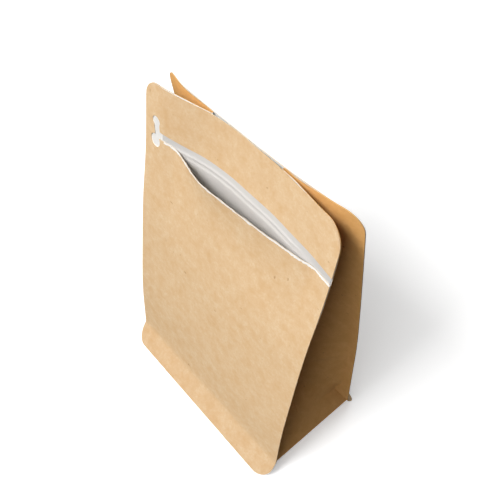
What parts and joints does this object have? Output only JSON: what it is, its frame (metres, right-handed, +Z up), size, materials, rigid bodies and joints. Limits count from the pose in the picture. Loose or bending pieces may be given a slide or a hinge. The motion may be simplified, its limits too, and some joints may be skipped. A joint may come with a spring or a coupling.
{
  "type": "flat-bottom pouch",
  "caption": "Empty flat-bottom pouch of brown paper lined with white film, standing on a flared seal skirt, its tear strip pulled off and its pocket zipper gaping.",
  "frame": {"origin": "centre of the bounding box in plan, on the surface the pouch stands on", "axes": "+Z up along the pouch, -Y out of the front panel with the zipper, +X to the right as the front is seen"},
  "size_m": [0.1334, 0.0798, 0.199],
  "materials": {
    "panel_paper": "uncoated matt brown paper outside, satin white film inside",
    "gusset_paper": "uncoated matt brown paper outside, satin white film inside",
    "base_paper": "uncoated matt brown paper underneath, satin white film inside",
    "zipper_film": "satin white polyethylene tape with a moulded track"
  },
  "bodies": {
    "root": {"front_panel": "panel_paper", "back_panel": "panel_paper", "left_gusset": "gusset_paper", "right_gusset": "gusset_paper", "base_panel": "base_paper", "zipper_tape": "zipper_film"}
  },
  "joints": []
}
